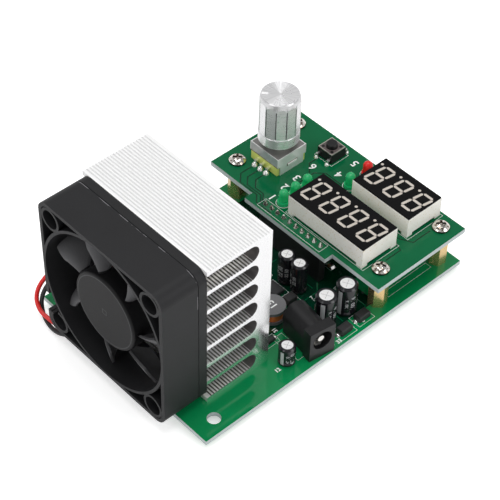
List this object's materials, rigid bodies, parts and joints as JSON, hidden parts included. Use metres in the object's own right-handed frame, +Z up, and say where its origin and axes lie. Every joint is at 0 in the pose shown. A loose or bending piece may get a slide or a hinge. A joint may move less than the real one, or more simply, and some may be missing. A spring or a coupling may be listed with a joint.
{
  "type": "dc electronic load",
  "caption": "Open-board electronic load: a fan-cooled heat sink on the main board, and a raised board with digit displays, lamps, a knob and a push button",
  "frame": {"origin": "midway between the two free mounting holes at the fan end, on the main board's underside", "axes": "+Z up out of the main board, +X from the fan end towards the display end, +Y from the supply socket's edge towards the knob's edge"},
  "size_m": [0.1062, 0.0706, 0.0546],
  "materials": {
    "board_green": "glossy green solder mask on glass laminate",
    "brass": "plain turned brass",
    "nickel_steel": "nickel-plated steel",
    "sink_aluminium": "mill-finish extruded aluminium",
    "package_black": "moulded black epoxy",
    "pad_grey": "silicone pad",
    "fan_black": "fine matt black moulding",
    "magnet": "bonded ferrite",
    "shaft_steel": "ground steel",
    "bronze": "sintered bronze",
    "stator": "laminated iron with enamelled wire",
    "lead_red": "smooth red insulation",
    "lead_black": "smooth black insulation",
    "connector_white": "natural nylon",
    "connector_black": "black moulded strip",
    "pin_metal": "tinned and gilded pins",
    "display_case": "pale grey moulding",
    "display_face": "black printed face",
    "segment": "unlit milky light bars",
    "lamp_green": "tinted clear green resin",
    "lamp_red": "tinted clear red resin",
    "encoder_green": "lime green moulding",
    "shell_steel": "pressed steel",
    "knob_aluminium": "turned and anodised aluminium",
    "switch_black": "black moulding",
    "jack_black": "black moulding",
    "sleeve_black": "shrunk black sleeve",
    "vent_aluminium": "bare aluminium top",
    "ferrite": "grey ferrite",
    "copper": "enamelled copper wire",
    "small_brown": "fired ceramic",
    "terminal_green": "green moulding",
    "solder": "solder"
  },
  "bodies": {
    "base": {"main_board": "board_green", "display_board": "board_green", "board_pillars": "brass", "upper_pillar_screws": "nickel_steel", "lower_pillar_screws": "nickel_steel", "heat_sink": "sink_aluminium", "heat_sink_screws": "nickel_steel", "power_transistor": "package_black", "transistor_pad": "pad_grey", "transistor_screw": "nickel_steel", "fan_frame": "fan_black", "fan_screws": "nickel_steel", "fan_bearing": "bronze", "fan_stator": "stator", "fan_circuit_board": "board_green", "fan_lead_red": "lead_red", "fan_lead_black": "lead_black", "fan_plug": "connector_white", "fan_socket": "connector_white", "fan_socket_pins": "pin_metal", "connector_socket": "connector_black", "connector_strip": "connector_black", "connector_pins": "pin_metal", "four_digit_case": "display_case", "three_digit_case": "display_case", "four_digit_face": "display_face", "three_digit_face": "display_face", "digit_segments": "segment", "display_pins": "pin_metal", "green_lamps": "lamp_green", "red_lamp": "lamp_red", "encoder_base": "encoder_green", "encoder_shell": "shell_steel", "encoder_pins": "pin_metal", "switch_case": "switch_black", "switch_cover": "shell_steel", "switch_legs": "pin_metal", "jack_body": "jack_black", "jack_pin": "nickel_steel", "jack_spring": "nickel_steel", "capacitor_sleeves": "sleeve_black", "capacitor_tops": "vent_aluminium", "inductor_core": "ferrite", "inductor_winding": "copper", "chips": "package_black", "chip_legs": "pin_metal", "small_parts": "small_brown", "terminal_block": "terminal_green", "solder_joints": "solder"},
    "fan_rotor": {"fan_rotor": "fan_black", "fan_magnet": "magnet", "fan_shaft": "shaft_steel"},
    "encoder_wheel": {"encoder_wheel": "package_black"},
    "knob": {"knob": "knob_aluminium", "encoder_shaft": "shaft_steel"},
    "switch_button": {"switch_button": "switch_black"},
    "terminal_screw_near": {"terminal_screw_near": "nickel_steel"},
    "terminal_screw_far": {"terminal_screw_far": "nickel_steel"},
    "terminal_cage_near": {"terminal_cage_near": "nickel_steel"},
    "terminal_cage_far": {"terminal_cage_far": "nickel_steel"}
  },
  "joints": [
    {"name": "fan_spin", "type": "hinge", "parent": "base", "child": "fan_rotor", "pos_m": [-0.0118, -0.0002, 0.02785], "axis": [1, 0, 0], "continuous": true},
    {"name": "knob_turn", "type": "hinge", "parent": "base", "child": "encoder_wheel", "pos_m": [0.0734, 0.0228, 0.0163], "axis": [0, 0, 1], "continuous": true},
    {"name": "knob_press", "type": "slide", "parent": "encoder_wheel", "child": "knob", "axis": [0, 0, -1], "range_m": [0, 0.0005], "stiffness_N_per_m": 4000, "springref_m": -0.0002},
    {"name": "button_press", "type": "slide", "parent": "base", "child": "switch_button", "axis": [0, 0, -1], "range_m": [0, 0.00025], "stiffness_N_per_m": 3000, "springref_m": -0.0001},
    {"name": "clamp_turn_near", "type": "hinge", "parent": "base", "child": "terminal_screw_near", "pos_m": [0.03306, 0.0304, 0.0099], "axis": [0, 0, -1], "range_deg": [0, 864.1]},
    {"name": "clamp_lift_near", "type": "slide", "parent": "base", "child": "terminal_cage_near", "axis": [0, 0, 1], "range_m": [0, 0.0012]},
    {"name": "clamp_turn_far", "type": "hinge", "parent": "base", "child": "terminal_screw_far", "pos_m": [0.03814, 0.0304, 0.0099], "axis": [0, 0, -1], "range_deg": [0, 864.1]},
    {"name": "clamp_lift_far", "type": "slide", "parent": "base", "child": "terminal_cage_far", "axis": [0, 0, 1], "range_m": [0, 0.0012]}
  ],
  "couplings": [
    {"joint": "clamp_turn_near", "follows": "clamp_lift_near", "rad_per_m": 12566},
    {"joint": "clamp_turn_far", "follows": "clamp_lift_far", "rad_per_m": 12566}
  ]
}
